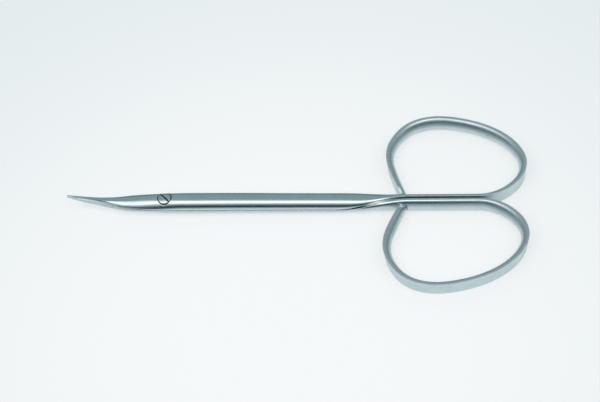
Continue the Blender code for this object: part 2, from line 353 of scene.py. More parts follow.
def curve_through(points, start_heading, end_heading, steps_per_span):
    """Places and headings along the smooth curve through points, with its two end headings set."""
    points = np.array(points)
    spans = np.linalg.norm(np.diff(points, axis=0), axis=1)
    count = len(points)
    system = np.eye(count)
    wanted = np.zeros((count, 2))
    wanted[0] = start_heading
    wanted[-1] = end_heading
    for i in range(1, count - 1):
        before = spans[i - 1]
        after = spans[i]
        system[i, i - 1:i + 2] = (after, 2 * (before + after), before)
        chord_in = (points[i] - points[i - 1]) / before
        chord_out = (points[i + 1] - points[i]) / after
        wanted[i] = 3 * (after * chord_in + before * chord_out)
    slopes = np.linalg.solve(system, wanted)
    places = []
    headings = []
    for i, span in enumerate(spans):
        first_step = 0 if i == 0 else 1
        for step in range(first_step, steps_per_span + 1):
            t = step / steps_per_span
            basis = (2 * t**3 - 3 * t**2 + 1, t**3 - 2 * t**2 + t, 3 * t**2 - 2 * t**3, t**3 - t**2)
            rates = (6 * t**2 - 6 * t, 3 * t**2 - 4 * t + 1, 6 * t - 6 * t**2, 3 * t**2 - 2 * t)
            knots = (points[i], slopes[i] * span, points[i + 1], slopes[i + 1] * span)
            places.append(sum(b * k for b, k in zip(basis, knots)))
            heading = sum(r * k for r, k in zip(rates, knots))
            headings.append(heading / np.linalg.norm(heading))
    return places, headings


def blade_share(x):
    """How far x lies along the taper, from 0 at the tips to 1 where the rod is full."""
    return (x + blade_reach) / taper_length


def parting_level(radius, on_blade):
    """Height of the surface between the halves. It depends on the distance from the pivot axis."""
    if on_blade:
        beyond = max(0.0, radius - (blade_reach - curve_length))
        return parting_height + tip_rise * (beyond / curve_length) ** rise_power
    sunk = smooth_step((radius - sink_start) / (ring_end_x - sink_start))
    return parting_height + (ribbon_middle - parting_height) * sunk


def gap_between(x):
    """Width of the gap between the halves: close in the rod, and open through the twist and ribbons."""
    turned = smooth_step((x - twist_start) / twist_length)
    return parting_gap + (stem_gap - parting_gap) * turned + twist_gap * math.sin(math.pi * turned)


def rod_size(x):
    """Cutting side, back side and height of one half at x."""
    slim = 1 - (1 - shank_end_share) * smooth_step((x - full_x) / (twist_start - full_x))
    cutting = half_width * slim * read_shares(half_width_shares, blade_share(x))
    back = cutting * read_shares(back_width_shares, blade_share(x))
    height = half_thickness * slim * read_shares(thickness_shares, blade_share(x))
    return cutting, back, height


def outline(cutting, back, height, land, across_power=1.0, out_power=1.0, wedge=0.0, back_slope=0.0):
    """Closed outline of one half as (across, out): flat face, edge, crowned face, edge."""
    radius = min(edge_radius, edge_limit_share * min(cutting, back, height))
    crown_start = radius + min(land, edge_limit_share * height)
    points = []
    for i in range(flat_steps + 1):
        share = i / flat_steps
        points.append((radius - back + (cutting + back - 2 * radius) * share, 0.0))
    for i in range(1, corner_steps + 1):
        turn = math.pi / 2 * i / corner_steps
        points.append((cutting - radius + radius * math.sin(turn), radius - radius * math.cos(turn)))
    for i in range(crown_steps + 1):
        angle = math.pi * i / crown_steps
        reach = -back
        power = out_power + (back_slope_power - 1) * back_slope
        narrow = across_power + (back_slope_across_power - 1) * back_slope
        if i < crown_steps / 2:
            reach = cutting
            power = out_power + (cutting_wedge_power - 1) * wedge
            narrow = across_power
        across = reach * abs(math.cos(angle)) ** narrow
        out = math.sin(angle) ** power if 0 < i < crown_steps else 0.0
        points.append((across, crown_start + out * (height - crown_start)))
    for i in range(corner_steps):
        turn = math.pi / 2 * i / corner_steps
        points.append((-back + radius - radius * math.cos(turn), radius - radius * math.sin(turn)))
    return np.array(points)


def edge_mask():
    """How worn each point of the outline is: 1 on the rounded edges and 0 on the faces."""
    mask = [0.0] * (flat_steps + 1) + [1.0] * corner_steps
    mask += [0.0] * (crown_steps + 1) + [1.0] * corner_steps
    for corner in (0, flat_steps):
        mask[corner] = flat_edge_wear
    for corner in (flat_steps + corner_steps + 1, -corner_steps - 1):
        mask[corner] = crown_edge_wear
    return mask


def ribbon_outline():
    """Outline of the ribbon at the ring's full thickness."""
    return outline(
        ribbon_middle, ribbon_middle, ring_thickness, ribbon_land, ribbon_across_power, ribbon_out_power
    )


def rod_section(x, side):
    """World points of one half's section at x, from the tip to the start of the ring's bend."""
    turned = smooth_step((x - twist_start) / twist_length)
    thinned = turned ** twist_thinning_power
    cutting, back, height = rod_size(x)
    gap = gap_between(x)
    if side < 0 and x > 0:
        height = min(height, parting_level(x, False) - parting_gap / 2)
    height += (parting_gap - gap) / 2
    wedge = 1 - read_shares(back_width_shares, blade_share(x))
    back_slope = read_shares(back_slope_shares, blade_share(x))
    points = outline(cutting, back, height, edge_land, wedge=wedge, back_slope=back_slope)
    if thinned > 0:
        ribbon = ribbon_outline() * (1.0, stem_thickness / ring_thickness)
        points = points + (ribbon - points) * thinned
    from_tip = x + blade_reach
    if from_tip < tip_round:
        left = 1 - from_tip / tip_round
        middle = points.mean(axis=0)
        points = middle + (points - middle) * max(tip_least_share, math.sqrt(1 - left * left))
    angle = math.pi / 2 * turned
    flat_way = np.array((0.0, math.cos(angle), -math.sin(angle))) * side
    out_way = np.array((0.0, math.sin(angle), math.cos(angle))) * side
    section = []
    for across, out in points:
        point = across * flat_way + (out + gap / 2) * out_way
        height_here = parting_level(math.hypot(x, point[1]), x < 0) + point[2]
        section.append((x, point[1], max(0.0, height_here)))
    return section


def rod_stations():
    """Places along X where the rod is drawn, closer together at the tips and in the twist."""
    places = []
    for i in range(blade_stations):
        share = i / blade_stations
        places.append(-blade_reach + taper_length * share ** tip_crowding_power)
    twist_end = twist_start + twist_length
    for first, last, count in (
        (full_x, twist_start, shank_stations),
        (twist_start, twist_end, twist_stations),
        (twist_end, bend_start, stem_stations),
    ):
        places += [first + (last - first) * i / count for i in range(count)]
    return places + [bend_start]


def straight_bar_place(point, side):
    """Place of a rod point in the bar as it was before bending: along, across and out."""
    return (point[0] - bend_start, point[2] - ribbon_middle, point[1] * side - parting_gap / 2)


# ---------------------------------------------------------------- meshes

def mesh_from(skin, name):
    """Turn a bmesh into a mesh, and free it."""
    mesh = bpy.data.meshes.new(name)
    skin.to_mesh(mesh)
    skin.free()
    return mesh


def show(name, data):
    """Link a mesh, a light or a camera as an object at the origin."""
    thing = bpy.data.objects.new(name, data)
    bpy.context.scene.collection.objects.link(thing)
    return thing


def dress(name, mesh, body):
    """Show a finished mesh as the look of the node with this name, riding on its body."""
    thing = show("dressed_" + name, mesh)
    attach(thing, body)
    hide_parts(name)


def plain_mesh(thing, name):
    """The evaluated shape of an object as a mesh of its own."""
    depsgraph = bpy.context.evaluated_depsgraph_get()
    depsgraph.update()
    mesh = bpy.data.meshes.new_from_object(thing.evaluated_get(depsgraph), depsgraph=depsgraph)
    mesh.name = name
    return mesh


def join_rings(skin, ring, following):
    """A strip of faces between two rings of corners."""
    strip = []
    for i in range(len(ring)):
        after = (i + 1) % len(ring)
        strip.append(skin.faces.new((ring[i], ring[after], following[after], following[i])))
    return strip


def finish_mesh(mesh, materials, crease_degrees):
    """Smooth shading with crisp creases, and the mesh's own materials on the faces marked for them."""
    marked = [face.material_index for face in mesh.polygons]
    mesh.materials.clear()
    for material in materials:
        mesh.materials.append(material)
    mesh.polygons.foreach_set("material_index", marked)
    mesh.shade_smooth()
    mesh.set_sharp_from_angle(angle=math.radians(crease_degrees))


def rod_mesh(name, side):
    """Blade, shank, twist and stem of one half, closed at its tip and open at the ring's bend."""
    sections = [rod_section(x, side) for x in rod_stations()]
    mask = edge_mask()
    skin = bmesh.new()
    bar = skin.verts.layers.float_vector.new("bar")
    edge = skin.verts.layers.float.new("edge")
    rows = []
    for section in sections:
        row = []
        for point, worn in zip(section, mask):
            corner = skin.verts.new((point[0] + pivot_x, point[1], point[2]))
            corner[bar] = straight_bar_place(point, side)
            corner[edge] = worn
            row.append(corner)
        rows.append(row)
    skin.faces.new(rows[0])
    for section, row, following in zip(sections, rows, rows[1:]):
        strip = join_rings(skin, row, following)
        # The flat faces before the twist take the ground flats' rougher steel, whose lighter colour is
        # painted light
        if section[0][0] < twist_start:
            for face in strip[:flat_steps]:
                face.material_index = ground_painted_light_index
    return mesh_from(skin, name)


# ---------------------------------------------------------------- node trees

def feed(tree, node, inputs):
    """Give each named input a value, or a link from another node's output."""
    for name, given in inputs.items():
        if isinstance(given, bpy.types.NodeSocket):
            tree.links.new(given, node.inputs[name])
        else:
            node.inputs[name].default_value = given


def add_node(tree, kind, label, inputs=None, **settings):
    """One node with a plain label, its settings, and its inputs. Nodes lie in rows as they are made."""
    node = tree.nodes.new(kind)
    node.label = label
    row, column = divmod(len(tree.nodes), nodes_in_a_row)
    node.location = (column * node_pitch, -row * node_pitch)
    for key, value in settings.items():
        setattr(node, key, value)
    feed(tree, node, inputs or {})
    return node


def add_socket(tree, name, kind, way="INPUT", value=None):
    """One named input or output of a node group."""
    socket = tree.interface.new_socket(name=name, in_out=way, socket_type=kind)
    if value is not None:
        socket.default_value = value


def calculate(tree, label, operation, *values):
    """Result of one sum on values or outputs."""
    inputs = dict(enumerate(values))
    return add_node(tree, "ShaderNodeMath", label, inputs, operation=operation).outputs["Value"]


def calculate_vector(tree, label, operation, first, second):
    """Result of one sum on two vectors, or on a vector and a number where it is scaled."""
    inputs = {0: first, "Scale" if operation == "SCALE" else 1: second}
    node = add_node(tree, "ShaderNodeVectorMath", label, inputs, operation=operation)
    return node.outputs["Vector"]


def combine(tree, label, **parts):
    """Vector put together from its X, Y and Z."""
    return add_node(tree, "ShaderNodeCombineXYZ", label, parts).outputs["Vector"]


def separate(tree, label, vector):
    """X, Y and Z of a vector."""
    return add_node(tree, "ShaderNodeSeparateXYZ", label, {"Vector": vector}).outputs


def map_range(tree, label, value, source=(0.0, 1.0), target=(0.0, 1.0), smooth=False):
    """Value carried from its source range to its target range."""
    inputs = {
        "Value": value, "From Min": source[0], "From Max": source[1],
        "To Min": target[0], "To Max": target[1],
    }
    kind = "SMOOTHSTEP" if smooth else "LINEAR"
    node = add_node(tree, "ShaderNodeMapRange", label, inputs, interpolation_type=kind)
    return node.outputs["Result"]


def noise(tree, label, place, scale, **more):
    """Noise texture with its scale, and other inputs where they aren't the usual ones."""
    inputs = {"Vector": place, "Scale": scale, **more}
    return add_node(tree, "ShaderNodeTexNoise", label, inputs).outputs


def mix_colours(tree, label, first, second, share):
    """A colour between two colours that follows a share from 0 to 1."""
    inputs = {"Factor": share}
    for index, colour in zip(mix_colour_inputs, (first, second)):
        inputs[index] = (*colour, 1.0) if isinstance(colour, tuple) else colour
    node = add_node(tree, "ShaderNodeMix", label, inputs, data_type="RGBA")
    return node.outputs[mix_colour_output]


def bump(tree, label, height, strength, depth, **more):
    """Normal of a surface with fine relief."""
    inputs = {"Height": height, "Strength": strength, "Distance": depth, **more}
    return add_node(tree, "ShaderNodeBump", label, inputs).outputs["Normal"]


# ---------------------------------------------------------------- finger ring, in Geometry Nodes

def ring_path_mesh(side):
    """Line along the ring's outer face, with its heading at each point."""
    points = [(bend_start, stem_gap / 2)]
    for along, across in ring_face_shares:
        points.append((ring_left + along * ring_length, across * ring_width))
    ring_end = np.array((ring_end_x, ring_end_y))
    points.append(ring_end)
    end_heading = np.array(ring_end_heading) / math.hypot(*ring_end_heading)
    places, headings = curve_through(points, (1.0, 0.0), end_heading, ring_steps_per_span)
    sunk_length = (ring_end_sinks_to - ring_end_y) / end_heading[1]
    for step in range(1, ring_end_steps + 1):
        places.append(ring_end + end_heading * sunk_length * step / ring_end_steps)
        headings.append(end_heading)
    mesh = bpy.data.meshes.new("ring_path")
    corners = [(x + pivot_x, y * side, ribbon_middle) for x, y in places]
    lines = [(i, i + 1) for i in range(len(corners) - 1)]
    mesh.from_pydata(corners, lines, [])
    heading = mesh.attributes.new("heading", "FLOAT_VECTOR", "POINT")
    flat = [value for x, y in headings for value in (x, y * side, 0.0)]
    heading.data.foreach_set("vector", flat)
    tall = mesh.attributes.new("tall", "FLOAT", "POINT")
    taper_low, taper_high = ring_end_taper
    for item, (x, y) in zip(tall.data, places):
        item.value = 1.0
        if x < ring_left + ring_end_zone_share * ring_length:
            full = smooth_step((y - taper_low) / (taper_high - taper_low))
            item.value = ring_end_height_share + (1 - ring_end_height_share) * full
    return mesh


def section_object():
    """Closed line with the ribbon's outline in X and Y."""
    points = ribbon_outline()
    count = len(points)
    mesh = bpy.data.meshes.new("ribbon_section")
    corners = [(across, out, 0.0) for across, out in points]
    lines = [(i, (i + 1) % count) for i in range(count)]
    mesh.from_pydata(corners, lines, [])
    edge = mesh.attributes.new("edge", "FLOAT", "POINT")
    edge.data.foreach_set("value", edge_mask())
    return show("ribbon_section", mesh)


def capture(tree, label, geometry, items):
    """Keep values on a geometry: each item has a name, a kind and a source."""
    node = add_node(tree, "GeometryNodeCaptureAttribute", label)
    for name, kind, _ in items:
        node.capture_items.new(kind, name)
    feed(tree, node, {"Geometry": geometry, **{name: source for name, _, source in items}})
    return node.outputs


def stored_value(tree, label, name, kind):
    """Value of a named attribute."""
    node = add_node(tree, "GeometryNodeInputNamedAttribute", label, {"Name": name}, data_type=kind)
    return node.outputs["Attribute"]


def bent_ribbon_tree():
    """Sweeps the ribbon's section along a path that keeps its flat face outwards."""
    tree = bpy.data.node_groups.new("Bent ribbon ring", "GeometryNodeTree")
    for name, kind, value in (
        ("Path", "NodeSocketGeometry", None),
        ("Section", "NodeSocketObject", None),
        ("Side", "NodeSocketFloat", 1.0),
        ("End Thickness Share", "NodeSocketFloat", stem_thickness / ring_thickness),
        ("Blend Length", "NodeSocketFloat", thickness_blend_length),
        ("Lean", "NodeSocketFloat", 0.0),
        ("Lean Blend Length", "NodeSocketFloat", lean_blend_length),
        ("Steel", "NodeSocketMaterial", None),
    ):
        add_socket(tree, name, kind, value=value)
    add_socket(tree, "Ring", "NodeSocketGeometry", way="OUTPUT")
    given = add_node(tree, "NodeGroupInput", "Sizes").outputs
    path = add_node(tree, "GeometryNodeMeshToCurve", "Path line", {"Mesh": given["Path"]})
    here = add_node(tree, "GeometryNodeInputPosition", "Place").outputs["Position"]
    run = add_node(tree, "GeometryNodeSplineParameter", "Run")
    whole = add_node(tree, "GeometryNodeSplineLength", "Whole length")
    on_path = capture(tree, "Keep along the path", path.outputs["Curve"], (
        ("Place", "VECTOR", here),
        ("Heading", "VECTOR", stored_value(tree, "Heading", "heading", "FLOAT_VECTOR")),
        ("Run", "FLOAT", run.outputs["Length"]),
        ("Whole", "FLOAT", whole.outputs["Length"]),
        ("Tall", "FLOAT", stored_value(tree, "Height share", "tall", "FLOAT")),
    ))
    section = add_node(tree, "GeometryNodeObjectInfo", "Section", {"Object": given["Section"]})
    outline_curve = add_node(
        tree, "GeometryNodeMeshToCurve", "Section line", {"Mesh": section.outputs["Geometry"]}
    )
    on_section = capture(
        tree, "Keep round the section", outline_curve.outputs["Curve"], (("Outline", "VECTOR", here),)
    )
    swept = add_node(
        tree, "GeometryNodeCurveToMesh", "Sweep",
        {"Curve": on_path["Geometry"], "Profile Curve": on_section["Geometry"]},
    )

    left = calculate(tree, "Left to the end", "SUBTRACT", on_path["Whole"], on_path["Run"])
    nearest = calculate(tree, "Nearest end", "MINIMUM", on_path["Run"], left)
    swell = map_range(
        tree, "Thickness share", nearest,
        (0.0, given["Blend Length"]), (given["End Thickness Share"], 1.0), smooth=True,
    )
    lean = map_range(
        tree, "Lean here", nearest,
        (0.0, given["Lean Blend Length"]), (0.0, given["Lean"]), smooth=True,
    )
    split = separate(tree, "Across and out", on_section["Outline"])
    out = calculate(tree, "Out from the flat", "MULTIPLY", split["Y"], swell)
    across = calculate(tree, "Across, sided", "MULTIPLY", split["X"], given["Side"])
    shorter = calculate(tree, "Height here", "MULTIPLY", across, on_path["Tall"])
    height = calculate(tree, "Height", "MULTIPLY", shorter, -1.0)
    upright = combine(tree, "Upright section", X=out, Z=height)
    leaned = add_node(
        tree, "ShaderNodeVectorRotate", "Leaned section",
        {"Vector": upright, "Angle": lean}, rotation_type="Y_AXIS", invert=True,
    )
    parts = separate(tree, "Leaned parts", leaned.outputs["Vector"])
    sided_out = calculate(tree, "Out, sided", "MULTIPLY", parts["X"], given["Side"])

    up = (0.0, 0.0, 1.0)
    out_way = calculate_vector(tree, "Way out", "CROSS_PRODUCT", up, on_path["Heading"])
    pushed = calculate_vector(tree, "Pushed out", "SCALE", out_way, sided_out)
    raised = combine(tree, "Raised", Z=parts["Z"])
    offset = calculate_vector(tree, "Off the path", "ADD", pushed, raised)
    place = calculate_vector(tree, "Place", "ADD", on_path["Place"], offset)
    moved = add_node(
        tree, "GeometryNodeSetPosition", "Set in place",
        {"Geometry": swept.outputs["Mesh"], "Position": place},
    )
    straight = combine(tree, "Straight bar", X=on_path["Run"], Y=height, Z=out)
    stored = add_node(
        tree, "GeometryNodeStoreNamedAttribute", "Keep the bar's place",
        {"Geometry": moved.outputs["Geometry"], "Name": "bar", "Value": straight},
        data_type="FLOAT_VECTOR", domain="POINT",
    )
    real = add_node(
        tree, "GeometryNodeRealizeInstances", "Make real", {"Geometry": stored.outputs["Geometry"]}
    )
    steel = add_node(
        tree, "GeometryNodeSetMaterial", "Steel",
        {"Geometry": real.outputs["Geometry"], "Material": given["Steel"]},
    )
    add_node(tree, "NodeGroupOutput", "Ring", {"Ring": steel.outputs["Geometry"]})
    return tree


def set_input(modifier, name, value):
    """Set one of a Geometry Nodes modifier's inputs through its identifier."""
    for item in modifier.node_group.interface.items_tree:
        if item.item_type == "SOCKET" and item.in_out == "INPUT" and item.name == name:
            modifier[item.identifier] = value


def ring_mesh(side, tree, section, steel):
    """Finger ring of one half, made by the ribbon's node tree."""
    thing = show("ring_path", ring_path_mesh(side))
    bend = thing.modifiers.new("Bend the ribbon", "NODES")
    bend.node_group = tree
    set_input(bend, "Section", section)
    set_input(bend, "Side", float(side))
    lean_degrees = upper_lean_degrees if side > 0 else lower_lean_degrees
    set_input(bend, "Lean", math.radians(lean_degrees))
    set_input(bend, "Steel", steel)
    mesh = plain_mesh(thing, "ring")
    bpy.data.objects.remove(thing, do_unlink=True)
    return mesh


# ---------------------------------------------------------------- screw, holes and brazes

def crown_height(x, y):
    """How far one half's domed face stands off the parting height, near the pivot."""
    cutting, _, height = rod_size(x)
    height += parting_gap / 2
    crown_start = edge_radius + edge_land
    share = max(0.0, 1 - (y / cutting) ** 2)
    return crown_start + (height - crown_start) * math.sqrt(share)


def dome_top(lift):
    """Height over the upper half's surface, raised by lift."""
    return lambda x, y: parting_height + crown_height(x, y) + lift


def dome_bottom(drop):
    """Height under the lower half's surface, lowered by drop."""
    return lambda x, y: parting_height - crown_height(x, y) - drop


def level(height):
    """A flat place in a turned profile."""
    return lambda x, y: height


def turned_skin(profile):
    """Closed turned skin: each row is (radius, height at that x and y), from top to bottom."""
    skin = bmesh.new()
    rings = []
    for radius, height in profile:
        ring = []
        for i in range(screw_sides):
            angle = 2 * math.pi * i / screw_sides
            x = radius * math.cos(angle)
            y = radius * math.sin(angle)
            ring.append(skin.verts.new((x + pivot_x, y, height(x, y))))
        rings.append(ring)
    for ring, following in zip(rings, rings[1:]):
        join_rings(skin, ring, following)
    for ring, height in ((rings[0], profile[0][1]), (rings[-1], profile[-1][1])):
        middle = skin.verts.new((pivot_x, 0.0, height(0.0, 0.0)))
        for i in range(screw_sides):
            skin.faces.new((ring[i], ring[(i + 1) % screw_sides], middle))
    bmesh.ops.recalc_face_normals(skin, faces=skin.faces[:])
    return skin


def hole_profile():
    """Rows of the cutter for the screw's hole, with a small break at both mouths."""
    head = screw_head_radius + screw_clearance
    shank = screw_shank_radius + screw_clearance
    mouth = screw_bevel
    return (
        (head + mouth, dome_top(cutter_overrun)),
        (head + mouth, dome_top(0.0)),
        (head, dome_top(-mouth)),
        (head, level(parting_height + screw_land_height)),
        (shank, level(parting_height + screw_cone_height)),
        (shank, dome_bottom(-mouth)),
        (shank + mouth, dome_bottom(0.0)),
        (shank + mouth, dome_bottom(cutter_overrun)),
    )


def screw_profile():
    """Rows of the screw from the middle of its head to the middle of its threaded end."""
    corner = screw_bevel * screw_corner_share
    head = [(share * screw_head_radius, dome_top(screw_crown_lift)) for share in screw_head_shares]
    end = [(share * screw_shank_radius, dome_bottom(screw_crown_lift)) for share in screw_end_shares]
    return head + [
        (screw_head_radius - screw_bevel, dome_top(0.0)),
        (screw_head_radius - corner, dome_top(-corner)),
        (screw_head_radius, dome_top(-screw_bevel)),
        (screw_head_radius, level(parting_height + screw_land_height)),
        (screw_shank_radius, level(parting_height + screw_cone_height)),
        (screw_shank_radius, dome_bottom(-screw_bevel)),
        (screw_shank_radius - screw_bevel, dome_bottom(0.0)),
    ] + end


def cut_away(mesh, cutter_skin, name):
    """The mesh with the cutter's shape taken out of it."""
    body = show(name, mesh)
    cutter = show(name + "_cutter", mesh_from(cutter_skin, name + "_cutter"))
    cut = body.modifiers.new("Cut", "BOOLEAN")
    cut.operation = "DIFFERENCE"
    cut.solver = "EXACT"
    cut.object = cutter
    result = plain_mesh(body, name)
    bpy.data.objects.remove(body, do_unlink=True)
    bpy.data.objects.remove(cutter, do_unlink=True)
    return result


def mark_deep_faces(mesh, reach, depth, index):
    """Give one material, dark oil residue with painted shade, to the faces near the pivot that reach
    below the domed surface.
    """
    lowest = parting_height + screw_cone_height
    for face in mesh.polygons:
        beside = math.hypot(face.center.x - pivot_x, face.center.y)
        if beside > reach or face.center.z < lowest:
            continue
        corners = [mesh.vertices[i].co for i in face.vertices]
        if any(corner.z < dome_top(-depth)(corner.x - pivot_x, corner.y) for corner in corners):
            face.material_index = index


def make_half(name, side, body, tree, section, steel, ground_painted_light_steel, oil_and_shade):
    """One forged half: rod and ring joined into one skin, with the screw's hole through it."""
    skin = bmesh.new()
    skin.from_mesh(rod_mesh(name + "_rod", side))
    skin.from_mesh(ring_mesh(side, tree, section, steel))
    bmesh.ops.remove_doubles(skin, verts=skin.verts[:], dist=weld_distance)
    open_edges = [edge for edge in skin.edges if len(edge.link_faces) == 1]
    bmesh.ops.holes_fill(skin, edges=open_edges, sides=0)
    bmesh.ops.recalc_face_normals(skin, faces=skin.faces[:])
    mesh = cut_away(mesh_from(skin, name), turned_skin(hole_profile()), name)
    head = screw_head_radius + screw_clearance
    for corner, place in zip(mesh.vertices, mesh.attributes["bar"].data):
        x = corner.co.x - pivot_x
        if math.hypot(x, corner.co.y) < head + hole_rim_reach:
            place.vector = straight_bar_place((x, corner.co.y, corner.co.z), side)
    # The deep walls of the hole take dark oil residue with painted shade
    mark_deep_faces(mesh, head + screw_bevel / 2, oil_and_shade_depth, oil_and_shade_index)
    finish_mesh(mesh, (steel, ground_painted_light_steel, oil_and_shade), half_crease_degrees)
    dress(name, mesh, body)


def make_screw(steel, oil_and_shade):
    """The slotted pivot screw, ground flush with the crown of the upper half."""
    slot = bmesh.new()
    bmesh.ops.create_cube(slot, size=1.0)
    floor = dome_top(-slot_depth)(0.0, 0.0)
    turn = math.radians(slot_turn_degrees)
    for corner in slot.verts:
        along = corner.co.x * slot_cutter_length
        across = corner.co.y * slot_width
        corner.co.x = along * math.cos(turn) - across * math.sin(turn) + pivot_x
        corner.co.y = along * math.sin(turn) + across * math.cos(turn)
        corner.co.z = floor + (corner.co.z + 0.5) * slot_cutter_height
    mesh = cut_away(mesh_from(turned_skin(screw_profile()), "screw_solid"), slot, "pivot_screw")
    # The slot and the screw's deep faces take dark oil residue with painted shade
    mark_deep_faces(mesh, screw_head_radius, oil_and_shade_depth, screw_oil_and_shade_index)
    finish_mesh(mesh, (steel, oil_and_shade), screw_crease_degrees)
    dress("pivot_screw", mesh, "lower")


def stem_crown(height):
    """How far the stem's crowned face stands off its flat face at a height over the table."""
    across = min(1.0, abs(height - ribbon_middle) / ribbon_middle)
    angle = math.acos(across ** (1 / ribbon_across_power))
    crown_start = edge_radius + ribbon_land
    rise = math.sin(angle) ** ribbon_out_power
    return stem_gap / 2 + crown_start + (stem_thickness - crown_start) * rise


def unevenness(waves, angle, side):
    """How far a braze's outline swells or draws in at an angle, as a share."""
    return 1 + sum(
        size * math.sin(count * angle + shift + by_side * side) for size, count, shift, by_side in waves
    )


def rounded_square(turn):
    """Cosine or sine drawn out towards a square with round corners."""
    return math.copysign(abs(turn) ** braze_corner_power, turn)


def make_braze(name, side, body, silver):
    """Hollow fillet of silver braze round the ring's end where it meets its own stem."""
    skin = bmesh.new()
    bar = skin.verts.layers.float_vector.new("bar")
    slant = -ring_end_heading[0] / ring_end_heading[1]
    crown_top = stem_gap / 2 + stem_thickness
    half_x = stem_thickness / 2
    half_z = ribbon_middle * braze_height_share
    middle_x = ring_end_x + slant * (ring_end_y - crown_top) + half_x
    rows = []
    for step in range(braze_climb_steps + 1):
        turn = math.pi / 2 * step / braze_climb_steps
        row = []
        for i in range(braze_sides):
            angle = 2 * math.pi * i / braze_sides
            reach_x = rounded_square(math.cos(angle))
            reach_z = rounded_square(math.sin(angle))
            spread = braze_foot * unevenness(braze_foot_waves, angle, side) * (1 - math.sin(turn))
            rise = braze_climb * unevenness(braze_climb_waves, angle, side) * (1 - math.cos(turn))
            x = middle_x - slant * rise + reach_x * (half_x + braze_wrap_gap + spread)
            z = ribbon_middle + reach_z * (half_z + spread)
            y = stem_crown(z) + braze_seat_gap + rise
            row.append(skin.verts.new((x + pivot_x, y * side, z)))
            row[-1][bar] = (x, z, rise)
        rows.append(row)
    for row, following in zip(rows, rows[1:]):
        join_rings(skin, row, following)
    skin.faces.new(rows[0])
    skin.faces.new(rows[-1])
    bmesh.ops.recalc_face_normals(skin, faces=skin.faces[:])
    mesh = mesh_from(skin, name)
    finish_mesh(mesh, (silver,), braze_crease_degrees)
    dress(name, mesh, body)


# ---------------------------------------------------------------- finishes

def shader_group(name, values, outputs):
    """A shader group that takes a place and named values, and gives named masks."""
    group = bpy.data.node_groups.new(name, "ShaderNodeTree")
    add_socket(group, "Place", "NodeSocketVector")
    for value_name, value in values.items():
        add_socket(group, value_name, "NodeSocketFloat", value=value)
    for output in outputs:
        add_socket(group, output, "NodeSocketFloat", way="OUTPUT")
    start = add_node(group, "NodeGroupInput", "In")
    end = add_node(group, "NodeGroupOutput", "Out")
    return group, start.outputs, end


def drawn_grain_group():
    """Fine lines that run along the bar, from drawing and polishing it lengthwise."""
    group, given, end = shader_group("Drawn grain", satin_grain, ("Height",))
    fine = given["Lines per Metre"]
    along = calculate(group, "Along", "DIVIDE", fine, given["Line Length"])
    stretch = combine(group, "Stretch", X=along, Y=fine, Z=fine)
    scaled = calculate_vector(group, "Scaled", "MULTIPLY", given["Place"], stretch)
    lines = noise(group, "Lines", scaled, 1.0, Detail=grain_detail)
    feed(group, end, {"Height": lines["Fac"]})
    return group


def edge_wear_group():
    """Mask of the long edges where handling has rubbed them bright, broken up by patches."""
    group, given, end = shader_group(
        "Edge wear",
        {"Edge": 0.0, "Patch Size": wear_patch_scale, "Amount": edge_wear_amount},
        ("Mask",),
    )
    patches = noise(group, "Patches", given["Place"], given["Patch Size"])
    spread = map_range(group, "Spread", patches["Fac"], wear_spread)
    worn = calculate(group, "Worn edge", "MULTIPLY", spread, given["Edge"])
    scaled = calculate(group, "Amount", "MULTIPLY", worn, given["Amount"])
    feed(group, end, {"Mask": scaled})
    return group


def hairline_group():
    """Sparse hairline scratches, each a thin short line along the bar."""
    group, given, end = shader_group(
        "Hairline scratches", {"Density": hairline_density, "Width": hairline_width}, ("Mask",)
    )
    place = given["Place"]
    bent = noise(group, "Wander", place, hairline_wander_scale)
    shift = calculate_vector(group, "Wander size", "SCALE", bent["Color"], hairline_wander)
    moved = calculate_vector(group, "Wandered", "ADD", place, shift)
    stretch = calculate_vector(group, "Stretch", "MULTIPLY", moved, hairline_stretch)
    cells = add_node(
        group, "ShaderNodeTexVoronoi", "Cells",
        {"Vector": stretch, "Scale": given["Density"]}, feature="DISTANCE_TO_EDGE",
    )
    thin = calculate(group, "Thin line", "LESS_THAN", cells.outputs["Distance"], given["Width"])
    broken = noise(group, "Broken", place, hairline_break_scale)
    few = calculate(group, "Few", "GREATER_THAN", broken["Fac"], hairline_break_level)
    both = calculate(group, "Scratch", "MULTIPLY", thin, few)
    feed(group, end, {"Mask": both})
    return group


def handling_group():
    """Soft clouds left by handling and wiping, and the slow waves of hand polishing."""
    group, given, end = shader_group(
        "Handling marks", {"Cloud Scale": cloud_scale, "Wave Scale": wave_scale}, ("Clouds", "Waves")
    )
    clouds = noise(
        group, "Clouds", given["Place"], given["Cloud Scale"],
        Detail=cloud_detail, Roughness=cloud_detail_strength,
    )
    spread = map_range(group, "Spread", clouds["Fac"], cloud_spread)
    long_way = calculate_vector(group, "Long way", "MULTIPLY", given["Place"], wave_stretch)
    waves = noise(group, "Waves", long_way, given["Wave Scale"], Detail=wave_detail)
    feed(group, end, {"Clouds": spread, "Waves": waves["Fac"]})
    return group


def new_material(name):
    """A material with its node tree and its shader."""
    material = bpy.data.materials.new(name)
    material.use_nodes = True
    return material, material.node_tree, material.node_tree.nodes["Principled BSDF"]


def place_group(tree, group, label, place, **values):
    """Outputs of a shader group placed in a material with that material's own values."""
    inputs = {"Place": place, **values}
    return add_node(tree, "ShaderNodeGroup", label, inputs, node_tree=group).outputs


